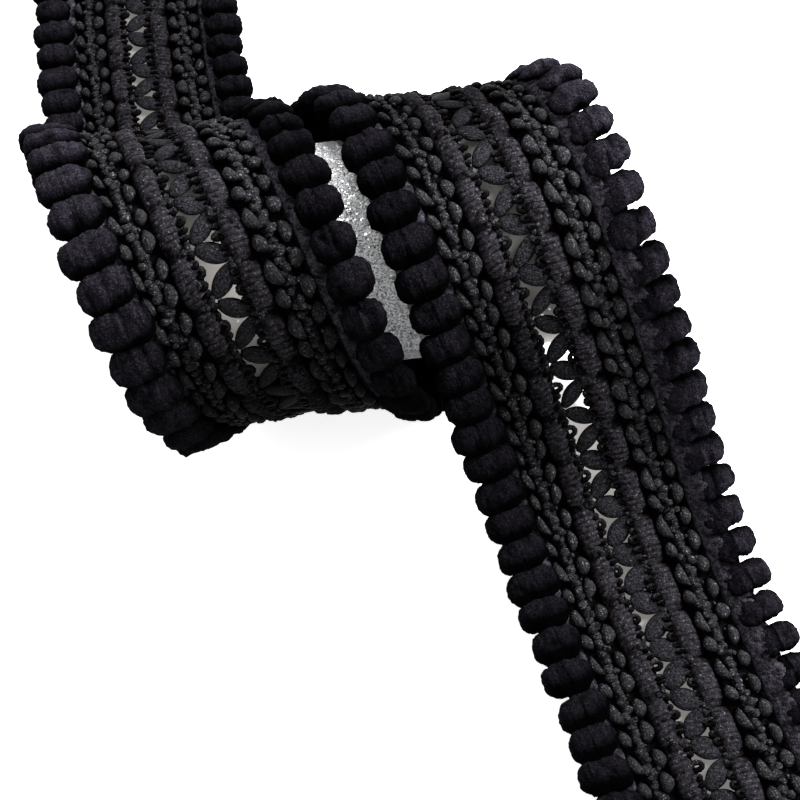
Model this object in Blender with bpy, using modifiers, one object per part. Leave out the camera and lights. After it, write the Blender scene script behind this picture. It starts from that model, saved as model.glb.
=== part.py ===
"""A black lace braid trim with velour lobes along both edges, wound once round a short tube.

Run with: blender --background --python part.py

The trim is first worked out flat, in along (its length), across (its width) and out (its thickness), and then
laid on its course: a flat tail at the back, a climb, one slanting turn round the tube and a flat tail in front.
Named lengths are metres. The tables are in millimetres and degrees, as their comments say.
"""

import math

import bmesh
import bpy
import numpy as np

MM = 0.001

# The trim's width, from its middle out to one edge.
LADDER_REACH = 3.1 * MM  # the zigzag cord's turning points
STRIP_INNER = 19.8 * MM  # the narrow strip that the lobes grow from
STRIP_OUTER = 21.8 * MM
LOBE_ROOT = 20.4 * MM
LOBE_TIP = 30.0 * MM

# The trim's thickness: its back is flat, and everything is measured from the bands' middle surface.
BACK = 1.3 * MM  # from the middle surface down to the flat back
LOBE_HEIGHT = 7.3 * MM
LOBE_WIDTH = 7.0 * MM
STRIP_BACK = -1.1 * MM
STRIP_TOP = 1.8 * MM
LEAF_HALF_WIDTH = 1.6 * MM
LEAF_PINCH = 0.65 * MM
LEAF_HALF_DEPTH = 0.9 * MM
TURN_DEPTH = 0.6  # the cord's thickness at a turn, as a share of a leaf's
TURN_REACH = 0.35  # the cord's width across the trim at a turn, as a share of its pinched width

# The repeats along the trim. A distance along is 0 at the first crest.
LOBE_PITCH = 8.28 * MM
ZIGZAG_PITCH = 12.42 * MM
FAR_END = -183.0 * MM
NEAR_END = 407.0 * MM
STATION_STEP = ZIGZAG_PITCH / 3

# Places that one repeat of each row is led through, from the far end to the near end (mm along).
LOBE_PINS = {"left": (-162.3, -12.2, 54.0, 218.2), "right": (-164.6, -2.2, 55.8, 232.8)}
ZIGZAG_PINS = (-161.2, -1.3, 48.4, 232.1)

# The course, seen from the tube's end, one row for each section from the far end to the near end.
# length is in mm, slope is how steeply the trim climbs at the section's end and slant how far it leans across
# the tube there, both in degrees. The slope keeps falling as the trim goes round. Under the tube the trim lies
# face down on its lobes. The rise is as long as it takes for them to rest on the table, and the fall as long as
# it takes to come down to the table again.
SECTION_COLUMNS = ("name", "length", "slope", "slant")
SECTIONS = (
    ("back tail", 66, 0, 5.0),
    ("lift", 67, 80, 3.5),
    ("rise", None, 68, 10.5),
    ("over the crest", 46, 0, 16.5),
    ("front", 59, -104, 16.0),
    ("under", 78, -208, 18.8),
    ("behind", 78, -360, 15.5),
    ("over again", 38, -412, 14.5),
    ("fall", None, -412, 13.0),
    ("landing", 45, -360, 11.0),
    ("front tail", 110, -360, 9.5),
)
FIRST_SLANT = -1.0
TURN_LIFT = LOBE_HEIGHT - 2 * BACK  # how much higher the trim's middle surface lies where it is face down
COURSE_STEP = 0.25  # mm between the course's worked points
HEIGHT_STEPS = 400  # steps in each section when its height is worked out

# The band's raised face: one row for each line of the woven rows, from its inner edge to its outer edge.
# across and height are in mm, and pad is how much the padded gimp swells and sinks with the zigzag.
FACE_COLUMNS = ("line", "across", "height", "pad")
FACE_LINES = (
    ("picot edge", 3.7, 0.3, 0.0),
    ("gimp, inner", 5.0, 1.4, 0.3),
    ("gimp, outer", 8.4, 1.4, 0.3),
    ("furrow", 9.7, 0.3, 0.0),
    ("inner leaf row", 11.4, 1.5, 0.0),
    ("stitch row", 14.1, 0.9, 0.0),
    ("outer leaf row", 16.9, 1.5, 0.0),
    ("outer edge", 19.5, 0.2, 0.0),
)

# A lobe's rings from root to tip: how far out each is (share of the lobe) and how large (share of full size).
LOBE_RINGS = ((0.0, 0.8), (0.6, 1.0), (1.0, 0.62))
LOBE_CORNERS = ((1.0, 0.5), (0.5, 1.0), (-0.5, 1.0), (-1.0, 0.5), (-0.5, 0.0), (0.5, 0.0))

# A leaf of the zigzag cord: how far along it each ring is, and its size as a share of full size.
LEAF_RINGS = ((0.0, 0.0), (0.32, 1.0), (0.68, 1.0))

# The tube inside the turn.
TUBE_RADIUS = 27.5 * MM
TUBE_WALL = 3.0 * MM
TUBE_SIDES = 48
TUBE_REST_GAP = 0.3 * MM
TUBE_BEHIND_CREST = 10.5 * MM  # its axis, behind the first crest
TUBE_FROM_CREST = (-10.0 * MM, 90.5 * MM)  # its two ends, to the right of the first crest


def column(table, names, wanted):
    """One named column of a table."""
    place = names.index(wanted)
    return [row[place] for row in table]


def running_sum(values, step):
    """Trapezoid sums of values, starting at 0."""
    return np.concatenate([[0.0], np.cumsum((values[1:] + values[:-1]) / 2 * step)])


def heights_along(start_slope, end_slope, length):
    """The height gained up to each step of one section whose slope changes evenly."""
    shares = (np.arange(HEIGHT_STEPS) + 0.5) / HEIGHT_STEPS
    return np.cumsum(np.sin(start_slope + (end_slope - start_slope) * shares)) * length / HEIGHT_STEPS


def section_lengths():
    """Every section's length in mm, with the rise and the fall worked out."""
    names = column(SECTIONS, SECTION_COLUMNS, "name")
    lengths = [length or 1.0 for length in column(SECTIONS, SECTION_COLUMNS, "length")]
    slopes = np.radians([0.0] + column(SECTIONS, SECTION_COLUMNS, "slope"))
    climbs = [heights_along(slopes[i], slopes[i + 1], lengths[i]) for i in range(len(SECTIONS))]
    gains = {name: climb[-1] for name, climb in zip(names, climbs)}
    passed, lowest = 0.0, 0.0
    for i in range(names.index("front"), names.index("behind") + 1):
        lowest = min(lowest, passed + climbs[i].min())
        passed += climbs[i][-1]
    first_crest = TURN_LIFT / MM - lowest
    lengths[names.index("rise")] = (first_crest - gains["lift"] - gains["over the crest"]) / gains["rise"]
    second_crest = first_crest + passed
    lengths[names.index("fall")] = -(second_crest + gains["over again"] + gains["landing"]) / gains["fall"]
    return lengths


def work_out_course():
    """The course as arrays: length round, slope, slant, and where the middle surface is in x, y and z."""
    lengths = section_lengths()
    ends = np.concatenate([[0.0], np.cumsum(lengths)])
    around = np.arange(0.0, ends[-1], COURSE_STEP)
    slopes = [0.0] + column(SECTIONS, SECTION_COLUMNS, "slope")
    slants = [FIRST_SLANT] + column(SECTIONS, SECTION_COLUMNS, "slant")
    slope = np.radians(np.interp(around, ends, slopes))
    slant = np.radians(np.interp(around, ends, slants))
    course = {
        "around": around,
        "slope": slope,
        "slant": slant,
        "x": running_sum(np.tan(slant), COURSE_STEP),
        "y": -running_sum(np.cos(slope), COURSE_STEP),
        "z": running_sum(np.sin(slope), COURSE_STEP) + BACK / MM,
        "along": running_sum(1 / np.cos(slant), COURSE_STEP),
    }
    crest = ends[column(SECTIONS, SECTION_COLUMNS, "name").index("front")]
    for name in ("x", "y", "along"):
        course[name] = course[name] - np.interp(crest, around, course[name])
    for name in ("around", "x", "y", "z", "along"):
        course[name] = course[name] * MM
    return course


COURSE = work_out_course()


def lay_on_course(flat):
    """Flat points (along, across, out) moved to where they are in the wound trim.

    The trim lies on straight lines parallel to the tube. A point that is across off the middle meets its line
    at around - across * sin(slant), and lies across * cos(slant) further to the right.
    """
    along, across, out = flat.T
    around = np.interp(along, COURSE["along"], COURSE["around"])
    slant = np.interp(along, COURSE["along"], COURSE["slant"])
    line = around - across * np.sin(slant)
    slope = np.interp(line, COURSE["around"], COURSE["slope"])
    x = np.interp(along, COURSE["along"], COURSE["x"]) + across * np.cos(slant)
    y = np.interp(line, COURSE["around"], COURSE["y"]) + out * np.sin(slope)
    z = np.interp(line, COURSE["around"], COURSE["z"]) + out * np.cos(slope)
    return np.stack([x, y, z], axis=1)


def repeat_places(pitch, pins_mm):
    """Where a row's repeats sit: a pitch apart, with a whole number of them between one pin and the next."""
    pins = np.array(pins_mm) * MM
    counts = np.concatenate([[0.0], np.cumsum(np.rint(np.diff(pins) / pitch))])
    before = math.ceil((pins[0] - FAR_END) / pitch) + 1
    after = math.ceil((NEAR_END - pins[-1]) / pitch) + 1
    index = np.arange(-before, counts[-1] + after + 1)
    counts = np.concatenate([[-before], counts, [counts[-1] + after]])
    pins = np.concatenate([[pins[0] - before * pitch], pins, [pins[-1] + after * pitch]])
    return np.interp(index, counts, pins)


def ringed_prism(sides, rings):
    """A closed prism with flat ends, cut into rings, with each vertex's ring and corner number."""
    prism = bmesh.new()
    bmesh.ops.create_cone(prism, cap_ends=True, segments=sides, radius1=1, radius2=1, depth=rings - 1)
    lengthwise = [edge for edge in prism.edges if abs(edge.verts[0].co.z - edge.verts[1].co.z) > 0.5]
    bmesh.ops.subdivide_edges(prism, edges=lengthwise, cuts=rings - 2, use_grid_fill=True)
    corners_at = np.array([vertex.co for vertex in prism.verts])
    ring = np.rint(corners_at[:, 2] + (rings - 1) / 2).astype(int)
    corner = np.rint(np.arctan2(corners_at[:, 0], corners_at[:, 1]) * sides / (2 * math.pi)).astype(int)
    return prism, ring, corner % sides


def flat_object(name, shape, points, collection):
    """An object from a bmesh whose vertices are moved to the given flat points."""
    for vertex, point in zip(shape.verts, points):
        vertex.co = point
    bmesh.ops.recalc_face_normals(shape, faces=shape.faces)
    mesh = bpy.data.meshes.new(name)
    shape.to_mesh(mesh)
    shape.free()
    piece = bpy.data.objects.new(name, mesh)
    collection.objects.link(piece)
    return piece


def wound(piece):
    """Lays a flat piece on its course, with its faces outward again."""
    shape = bmesh.new()
    shape.from_mesh(piece.data)
    flat = np.array([vertex.co for vertex in shape.verts])
    for vertex, point in zip(shape.verts, lay_on_course(flat)):
        vertex.co = point
    bmesh.ops.recalc_face_normals(shape, faces=shape.faces)
    shape.to_mesh(piece.data)
    shape.free()
    return piece


def stations(step):
    """Even places along the whole trim, about a step apart, with both cut ends."""
    return np.linspace(FAR_END, NEAR_END, round((NEAR_END - FAR_END) / step) + 1)


def woven_band(name, side, collection):
    """One woven band: flat behind, with the gimp, the leaf rows and the furrow between them raised in front."""
    places = stations(STATION_STEP)
    lines = column(FACE_LINES, FACE_COLUMNS, "across")
    across = np.array(lines + [lines[-1], lines[0]]) * MM
    height = np.append(np.array(column(FACE_LINES, FACE_COLUMNS, "height")) * MM, [-BACK, -BACK])
    pad = np.array(column(FACE_LINES, FACE_COLUMNS, "pad") + [0.0, 0.0]) * MM
    prism, ring, corner = ringed_prism(len(across), len(places))
    turns = repeat_places(ZIGZAG_PITCH, ZIGZAG_PINS)
    phase = 2 * math.pi * np.interp(places, turns, np.arange(len(turns)))
    swell = side * np.cos(phase)  # lowest where the zigzag cord is tied in on this side
    out = height[corner] + pad[corner] * swell[ring]
    points = np.stack([places[ring], side * across[corner], out], axis=1)
    return wound(flat_object(name, prism, points, collection))


def zigzag_ladder(name, collection):
    """The middle cord: flat leaves that run from one band to the other and back, pinched where they turn."""
    left_turns = repeat_places(ZIGZAG_PITCH, ZIGZAG_PINS)
    right_turns = (left_turns[1:] + left_turns[:-1]) / 2
    turn_places = np.sort(np.concatenate([left_turns, right_turns]))
    turn_sides = np.where(np.isin(turn_places, left_turns), -1.0, 1.0)
    kept = (turn_places > FAR_END) & (turn_places < NEAR_END)
    turn_places, turn_sides = turn_places[kept], turn_sides[kept]
    leaf = np.arange(len(turn_places) - 1)
    share = np.array([ring[0] for ring in LEAF_RINGS])
    size = np.array([ring[1] for ring in LEAF_RINGS])
    order = np.append((leaf[:, None] + share[None, :]).ravel(), leaf[-1] + 1.0)
    fullness = np.append(np.tile(size, len(leaf)), 0.0)
    middle_along = np.interp(order, np.arange(len(turn_places)), turn_places)
    middle_across = LADDER_REACH * np.interp(order, np.arange(len(turn_places)), turn_sides)
    leaf_length = math.hypot(ZIGZAG_PITCH / 2, 2 * LADDER_REACH)
    half_width = LEAF_PINCH + (LEAF_HALF_WIDTH - LEAF_PINCH) * fullness
    depth = LEAF_HALF_DEPTH * (TURN_DEPTH + (1 - TURN_DEPTH) * fullness)
    # A leaf's rings are square to the leaf, and a ring at a turn is square to the trim.
    heading = np.sign(np.gradient(middle_across))
    reach_along = np.where(fullness > 0, -heading * 2 * LADDER_REACH / leaf_length, 0.0)
    reach_across = np.where(fullness > 0, ZIGZAG_PITCH / 2 / leaf_length, TURN_REACH)
    prism, ring, corner = ringed_prism(4, len(order))
    sideways = np.array([1.0, 0.0, -1.0, 0.0])[corner] * half_width[ring]
    points = np.stack(
        [
            middle_along[ring] + sideways * reach_along[ring],
            middle_across[ring] + sideways * reach_across[ring],
            np.array([0.0, 1.0, 0.0, -1.0])[corner] * depth[ring],
        ],
        axis=1,
    )
    return wound(flat_object(name, prism, points, collection))


def lobe_row(name, side, places, collection):
    """The lobes of one edge, as loose closed bodies that the strip is joined to."""
    row = bmesh.new()
    shares = np.array([ring[0] for ring in LOBE_RINGS])
    sizes = np.array([ring[1] for ring in LOBE_RINGS])
    around = np.array(LOBE_CORNERS)
    for place in places:
        lobe, ring, corner = ringed_prism(len(LOBE_CORNERS), len(LOBE_RINGS))
        across = LOBE_ROOT + (LOBE_TIP - LOBE_ROOT) * shares[ring]
        points = np.stack(
            [
                place + around[corner, 0] * sizes[ring] * LOBE_WIDTH / 2,
                side * across,
                -BACK + around[corner, 1] * sizes[ring] * LOBE_HEIGHT,
            ],
            axis=1,
        )
        for vertex, point in zip(lobe.verts, points):
            vertex.co = point
        bmesh.ops.recalc_face_normals(lobe, faces=lobe.faces)
        loose = bpy.data.meshes.new("loose_lobe")
        lobe.to_mesh(loose)
        lobe.free()
        row.from_mesh(loose)
        bpy.data.meshes.remove(loose)
    points = [vertex.co.copy() for vertex in row.verts]
    lobes = flat_object(name, row, points, collection)
    lobes.hide_render = True
    lobes.display_type = "WIRE"
    return lobes


def lobed_edge(name, side_name, side, collection, helpers):
    """One edge: a narrow strip with the velour lobes standing out from it, joined into one body."""
    lobe_places = repeat_places(LOBE_PITCH, LOBE_PINS[side_name])
    inside = (lobe_places > FAR_END + LOBE_WIDTH / 2) & (lobe_places < NEAR_END - LOBE_WIDTH / 2)
    lobe_places = lobe_places[inside]
    places = np.concatenate([[FAR_END], lobe_places, [NEAR_END]])
    across = np.array([STRIP_INNER, STRIP_OUTER, STRIP_OUTER, STRIP_INNER])
    out = np.array([STRIP_TOP, STRIP_TOP, STRIP_BACK, STRIP_BACK])
    prism, ring, corner = ringed_prism(4, len(places))
    points = np.stack([places[ring], side * across[corner], out[corner]], axis=1)
    edge = flat_object(name, prism, points, collection)
    lobes = lobe_row(name + "_lobes", side, lobe_places, helpers)
    union = edge.modifiers.new("join lobes", "BOOLEAN")
    union.operation = "UNION"
    union.solver = "EXACT"
    union.object = lobes
    bpy.context.view_layer.update()
    joined = bpy.data.meshes.new_from_object(edge.evaluated_get(bpy.context.evaluated_depsgraph_get()))
    edge.modifiers.clear()
    edge.data = joined
    bpy.data.objects.remove(lobes)
    return wound(edge)


def core_tube(name, collection):
    """The short open tube that the trim is wound on, resting in the bottom of the turn."""
    wall = bmesh.new()
    length = TUBE_FROM_CREST[1] - TUBE_FROM_CREST[0]
    bmesh.ops.create_cone(
        wall, cap_ends=False, segments=TUBE_SIDES, radius1=TUBE_RADIUS, radius2=TUBE_RADIUS, depth=length
    )
    bmesh.ops.recalc_face_normals(wall, faces=wall.faces)
    mesh = bpy.data.meshes.new(name)
    wall.to_mesh(mesh)
    wall.free()
    tube = bpy.data.objects.new(name, mesh)
    collection.objects.link(tube)
    shell = tube.modifiers.new("wall", "SOLIDIFY")
    shell.thickness = TUBE_WALL
    shell.offset = -1
    shell.use_even_offset = True
    tube.rotation_euler = (0, math.pi / 2, 0)
    axis_height = LOBE_HEIGHT + TUBE_REST_GAP + TUBE_RADIUS
    tube.location = (sum(TUBE_FROM_CREST) / 2, TUBE_BEHIND_CREST, axis_height)
    return tube


def centre_on_origin(pieces):
    """Moves every piece so that the whole part stands over the origin."""
    bpy.context.view_layer.update()
    corners = np.array([piece.matrix_world @ vertex.co for piece in pieces for vertex in piece.data.vertices])
    middle = (corners.min(axis=0) + corners.max(axis=0)) / 2
    for piece in pieces:
        piece.location.x -= middle[0]
        piece.location.y -= middle[1]


def yarn(name, colour, roughness, metallic=0.0):
    """A plain material with the piece's colour from the photograph."""
    material = bpy.data.materials.new(name)
    material.use_nodes = True
    shader = material.node_tree.nodes["Principled BSDF"]
    shader.inputs["Base Color"].default_value = (*colour, 1.0)
    shader.inputs["Roughness"].default_value = roughness
    shader.inputs["Metallic"].default_value = metallic
    return material


def new_collection(name):
    collection = bpy.data.collections.new(name)
    bpy.context.scene.collection.children.link(collection)
    return collection


def main():
    for old in list(bpy.data.objects):
        bpy.data.objects.remove(old)
    trim = new_collection("lace_trim_on_tube")
    helpers = new_collection("helpers")
    band_left = woven_band("band_left", -1, trim)
    band_right = woven_band("band_right", 1, trim)
    ladder = zigzag_ladder("ladder_zigzag", trim)
    edge_left = lobed_edge("edge_left", "left", -1, trim, helpers)
    edge_right = lobed_edge("edge_right", "right", 1, trim, helpers)
    tube = core_tube("core_tube", trim)
    rayon = yarn("black rayon yarn", (0.014, 0.014, 0.016), 0.5)
    cord = yarn("black flat cord", (0.016, 0.016, 0.018), 0.45)
    velour = yarn("black velour", (0.006, 0.005, 0.008), 0.95)
    silver = yarn("silver glitter board", (0.62, 0.63, 0.65), 0.35, 0.8)
    finishes = (
        (band_left, rayon),
        (band_right, rayon),
        (ladder, cord),
        (edge_left, velour),
        (edge_right, velour),
        (tube, silver),
    )
    for piece, finish in finishes:
        piece.data.materials.clear()
        piece.data.materials.append(finish)
    tube.data.shade_smooth()
    tube.data.set_sharp_from_angle(angle=math.radians(30))
    centre_on_origin([piece for piece, _ in finishes])


main()
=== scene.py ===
import math
import bpy
import numpy as np
from mathutils import Matrix, Vector


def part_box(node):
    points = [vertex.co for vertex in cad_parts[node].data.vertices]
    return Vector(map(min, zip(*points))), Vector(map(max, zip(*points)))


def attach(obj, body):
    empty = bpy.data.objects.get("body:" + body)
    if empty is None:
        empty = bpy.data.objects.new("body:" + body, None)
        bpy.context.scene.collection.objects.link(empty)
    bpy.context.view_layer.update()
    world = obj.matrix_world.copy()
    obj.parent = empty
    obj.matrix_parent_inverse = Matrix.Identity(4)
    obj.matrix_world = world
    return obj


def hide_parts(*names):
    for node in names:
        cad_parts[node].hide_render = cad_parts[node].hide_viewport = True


# A black openwork trim wound once round a short glitter tube. It is worked out flat first, in mm: along (its
# length, from the turn's crest towards the viewer), across (its width, right is positive) and out (its
# thickness, from the middle of the woven bands). Then it is laid on the course that the solids have.

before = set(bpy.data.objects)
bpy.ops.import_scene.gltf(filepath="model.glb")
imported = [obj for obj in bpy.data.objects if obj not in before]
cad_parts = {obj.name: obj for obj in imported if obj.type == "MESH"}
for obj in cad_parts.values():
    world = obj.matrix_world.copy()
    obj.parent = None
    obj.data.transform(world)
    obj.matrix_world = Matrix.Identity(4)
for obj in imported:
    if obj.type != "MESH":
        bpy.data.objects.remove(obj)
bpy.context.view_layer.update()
mm = 0.001
print("stage: frame loaded")


# The columns of a table, by name.
def columnsOf(names, *rows):
    return dict(zip(names.split(), zip(*rows)))


# The trim's repeats and its course, in mm and degrees. They are the solids' own and are changed there first.
trim = {
    "farEnd": -183.0,
    "nearEnd": 407.0,
    "backBelow": 1.3,  # from the middle of the bands down to the flat back
    "lobeHeight": 7.3,
    "bandWidth": 15.8,
    "ladderWidth": 8.0,
    "zigzagPitch": 12.42,
    "zigzagPins": (-161.2, -1.3, 48.4, 232.1),  # places of left-hand turns that the cord is led through
    "lobePitch": 8.28,
    "lobePins": {"left": (-162.3, -12.2, 54.0, 218.2), "right": (-164.6, -2.2, 55.8, 232.8)},
    "firstSlant": -1.0,
    "courseStep": 0.25,
    "heightSteps": 400,
    "crestFromTube": (-40.25, -10.5),  # the first crest, from the middle of the tube, in x and y
    "rowShift": -0.5,  # the woven rows' middle, from the lobes' middle
}
# Each section's length, and its slope and slant where it ends. sectionLengths finds the rise and the fall.
sections = columnsOf(
    "name length slope slant",
    ("back tail", 66, 0, 5.0),
    ("lift", 67, 80, 3.5),
    ("rise", None, 68, 10.5),
    ("over the crest", 46, 0, 16.5),
    ("front", 59, -104, 16.0),
    ("under", 78, -208, 18.8),
    ("behind", 78, -360, 15.5),
    ("over again", 38, -412, 14.5),
    ("fall", None, -412, 13.0),
    ("landing", 45, -360, 11.0),
    ("front tail", 110, -360, 9.5),
)
sides = {"left": -1, "right": 1}


# Trapezoid sums of values, starting at 0.
def runningSum(values, step):
    return np.concatenate([[0.0], np.cumsum((values[1:] + values[:-1]) / 2 * step)])


# The height gained up to each step of a section whose slope changes evenly: a sum of sin(slope) x step.
def heightsAlong(startSlope, endSlope, length):
    steps = trim["heightSteps"]
    shares = (np.arange(steps) + 0.5) / steps
    return np.cumsum(np.sin(startSlope + (endSlope - startSlope) * shares)) * length / steps


# Every section's length: the rise and the fall are as long as their heights need, so that the face-down trim
# under the tube lies on its lobes and the front tail lies on its back.
def sectionLengths():
    names = sections["name"]
    lengths = [length or 1.0 for length in sections["length"]]
    slopes = np.radians([0.0, *sections["slope"]])
    climbs = [heightsAlong(slopes[i], slopes[i + 1], length) for i, length in enumerate(lengths)]
    gains = {name: climb[-1] for name, climb in zip(names, climbs)}
    passed, lowest = 0.0, 0.0
    for climb in climbs[names.index("front") : names.index("behind") + 1]:
        lowest = min(lowest, passed + climb.min())
        passed += climb[-1]
    crest = trim["lobeHeight"] - 2 * trim["backBelow"] - lowest
    lengths[names.index("rise")] = (crest - gains["lift"] - gains["over the crest"]) / gains["rise"]
    lengths[names.index("fall")] = -(crest + passed + gains["over again"] + gains["landing"]) / gains["fall"]
    return lengths


# The course as arrays: the running sums of cos(slope) and sin(slope) give y and z, and of tan(slant) gives x.
def trimCourse():
    ends = np.concatenate([[0.0], np.cumsum(sectionLengths())])
    step = trim["courseStep"]
    around = np.arange(0.0, ends[-1], step)
    slope = np.radians(np.interp(around, ends, [0.0, *sections["slope"]]))
    slant = np.radians(np.interp(around, ends, [trim["firstSlant"], *sections["slant"]]))
    course = {
        "around": around,
        "slope": slope,
        "slant": slant,
        "x": runningSum(np.tan(slant), step),
        "y": -runningSum(np.cos(slope), step),
        "z": runningSum(np.sin(slope), step) + trim["backBelow"],
        "along": runningSum(1 / np.cos(slant), step),
    }
    crest = ends[sections["name"].index("front")]
    for name in ("x", "y", "along"):
        course[name] = course[name] - np.interp(crest, around, course[name])
    return course


course = trimCourse()
tubeLow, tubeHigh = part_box("core_tube")
tubeMiddle = (tubeLow + tubeHigh) / 2
crestPlace = np.array([tubeMiddle.x, tubeMiddle.y, 0.0]) + np.array([*trim["crestFromTube"], 0.0]) * mm


# Coordinates, each stretched to the shape of all, joined into points.
def joined(*parts):
    return np.stack(np.broadcast_arrays(*parts), axis=-1)


# Flat points laid on the course, in metres: a point meets the line parallel to the tube at its own along less
# across times sin(slant), and lies across times cos(slant) along that line and out along the course's normal.
def layTrim(flat):
    along, across, out = np.moveaxis(flat, -1, 0)
    around, slant, x = [np.interp(along, course["along"], course[name]) for name in ("around", "slant", "x")]
    line = around - across * np.sin(slant)
    slope, y, z = [np.interp(line, course["around"], course[name]) for name in ("slope", "y", "z")]
    x = x + across * np.cos(slant)
    return joined(x, y + out * np.sin(slope), z + out * np.cos(slope)) * mm + crestPlace


# Where a row's repeats sit: a whole number between one pin and the next, and a pitch apart past the pins.
def repeatPlaces(pitch, pins):
    pins = np.array(pins)
    counts = np.concatenate([[0.0], np.cumsum(np.rint(np.diff(pins) / pitch))])
    before = math.ceil((pins[0] - trim["farEnd"]) / pitch) + 1
    after = math.ceil((trim["nearEnd"] - pins[-1]) / pitch) + 1
    index = np.arange(-before, counts[-1] + after + 1)
    counts = np.concatenate([[-before], counts, [counts[-1] + after]])
    pins = np.concatenate([[pins[0] - before * pitch], pins, [pins[-1] + after * pitch]])
    return np.interp(index, counts, pins)


leftTurns = repeatPlaces(trim["zigzagPitch"], trim["zigzagPins"])
turnCount = np.arange(len(leftTurns))


# Places that follow each left-hand turn of the zigzag by so many mm, perTurn of them between two turns.
def placesAfterTurns(after, perTurn=1, margin=1.5):
    counts = np.arange(0, len(leftTurns) - 1, 1 / perTurn) + after / trim["zigzagPitch"]
    places = np.interp(counts, turnCount, leftTurns)
    return places[(places > trim["farEnd"] + margin) & (places < trim["nearEnd"] - margin)]


# Smooth random heights at points in mm: a sum of plane waves with lengths between two limits. About two in
# three lie between -0.6 and 0.6.
def roughness(points, seed, shortest, longest, waves=36):
    random = np.random.default_rng(seed)
    directions = random.normal(size=(waves, 3))
    directions /= np.linalg.norm(directions, axis=1)[:, None]
    lengths = random.uniform(shortest, longest, waves)
    turns = points @ (directions * (2 * math.pi / lengths)[:, None]).T + random.uniform(0, 2 * math.pi, waves)
    return np.sin(turns).sum(axis=-1) / math.sqrt(waves / 2) / 1.6


# The turns of a ring's corners, for arrays of copies x rings x corners.
def ringAngles(corners):
    return (np.arange(corners) * 2 * math.pi / corners)[None, None, :]


# The faces of equal closed bodies: quads round copies x rings x corners points, and fans at the two poles
# that follow each copy's rings.
def bodyFaces(copies, rings, corners):
    ring = np.arange(rings - 1)[:, None] * corners
    corner = np.arange(corners)
    following = (corner + 1) % corners
    quads = joined(ring + corner, ring + following, ring + corners + following, ring + corners + corner)
    last = (rings - 1) * corners
    fans = [joined(corner, rings * corners, following)]
    fans.append(joined(last + corner, last + following, rings * corners + 1))
    offsets = (np.arange(copies) * (rings * corners + 2))[:, None, None]
    quads = (offsets + quads.reshape(-1, 4)).reshape(-1, 4)
    return quads, (offsets + np.concatenate(fans)).reshape(-1, 3)


# Painted light and shade: how much light the black yarn and the velour send back along the trim, on its left
# and its right side, painted into their colour as a share of it.
shades = columnsOf(
    "along leftYarn rightYarn leftVelour rightVelour",
    (-183, 0.6, 0.6, 0.42, 0.28),
    (-60, 0.6, 0.6, 0.42, 0.28),
    (-20, 0.75, 0.8, 1.1, 0.3),
    (0, 0.95, 1.0, 0.72, 0.25),
    (16, 0.75, 0.7, 0.6, 0.34),
    (30, 0.36, 0.45, 0.34, 0.36),
    (48, 0.15, 0.18, 0.15, 0.16),
    (60, 0.08, 0.08, 0.06, 0.03),
    (90, 0.02, 0.02, 0.02, 0.02),
    (190, 0.5, 0.32, 0.6, 1.4),
    (212, 0.46, 0.36, 0.4, 1.3),
    (232, 1.0, 1.15, 0.22, 1.1),
    (250, 0.95, 1.15, 0.4, 0.72),
    (275, 0.3, 0.65, 0.24, 0.55),
    (300, 0.42, 0.7, 0.19, 0.68),
    (325, 0.8, 0.85, 0.28, 0.6),
    (407, 0.58, 0.8, 0.28, 0.32),
)


# The painted light share for points of one kind, "Yarn" or "Velour": read off along, and mixed across the
# ladder.
def litShare(flat, kind):
    along, across = flat[..., 0], flat[..., 1]
    left, right = [np.interp(along, shades["along"], shades[side + kind]) for side in sides]
    return left + (right - left) * np.clip(across / trim["ladderWidth"] + 0.5, 0, 1)


# An object with its mesh, light or camera, in the scene.
def addObject(name, data):
    added = bpy.data.objects.new(name, data)
    bpy.context.scene.collection.objects.link(added)
    return added


# A piece of closed bodies. flat is copies x rings x corners x 3, threads is where each point lies along and
# across its threads in mm, and paintedLight is painted light and shade on the colour: 0 in a hollow, painted
# black, and 1 on top of a thread. Each end ring is closed to a pole at its middle, and turned is for corners
# that go round the other way.
def addBodies(name, flat, threads, paintedLight, material, turned=False, kind="Yarn"):
    copies, rings, corners = flat.shape[:3]
    parts = [flat, threads, paintedLight[..., None]]
    if turned:
        parts = [part[:, :, ::-1] for part in parts]
    poles = [part[:, [0, -1]].mean(axis=2) for part in parts]
    parts = [part.reshape(copies, rings * corners, -1) for part in parts]
    parts = [np.concatenate(both, axis=1) for both in zip(parts, poles)]
    points, threads, paintedLight = [part.reshape(-1, part.shape[-1]) for part in parts]
    # Painted light: the hollows' painted shade times the painted light share along the trim.
    paintedLight = paintedLight[:, 0] * litShare(points, kind)
    points[:, 2] = np.maximum(points[:, 2], -trim["backBelow"])  # nothing comes through the flat back
    quads, fans = bodyFaces(copies, rings, corners)
    faces = quads.tolist() + fans.tolist()
    mesh = bpy.data.meshes.new(name)
    mesh.from_pydata(layTrim(points).tolist(), [], faces)
    cornerThreads = threads[np.concatenate([quads.ravel(), fans.ravel()])] * mm
    threadMap = mesh.uv_layers.new(name="threadMap")
    threadMap.data.foreach_set("uv", cornerThreads.astype(np.float32).ravel())
    paintedShading = mesh.attributes.new("paintedLight", "FLOAT", "POINT")
    paintedShading.data.foreach_set("value", paintedLight.astype(np.float32))
    mesh.shade_smooth()
    mesh.materials.append(material)
    piece = addObject(name, mesh)
    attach(piece, "root")
    print("piece:", name, len(faces), "faces")
    return piece


# The same for bodies whose across is measured outward from the rows' middle, on one side of the trim.
def addOnSide(name, side, flat, threads, paintedLight, material, turned=False):
    flat = flat * (1, sides[side], 1) + (0, trim["rowShift"], 0)
    return addBodies(name + side.title(), flat, threads, paintedLight, material, turned != (side == "right"))


# Materials.

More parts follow.
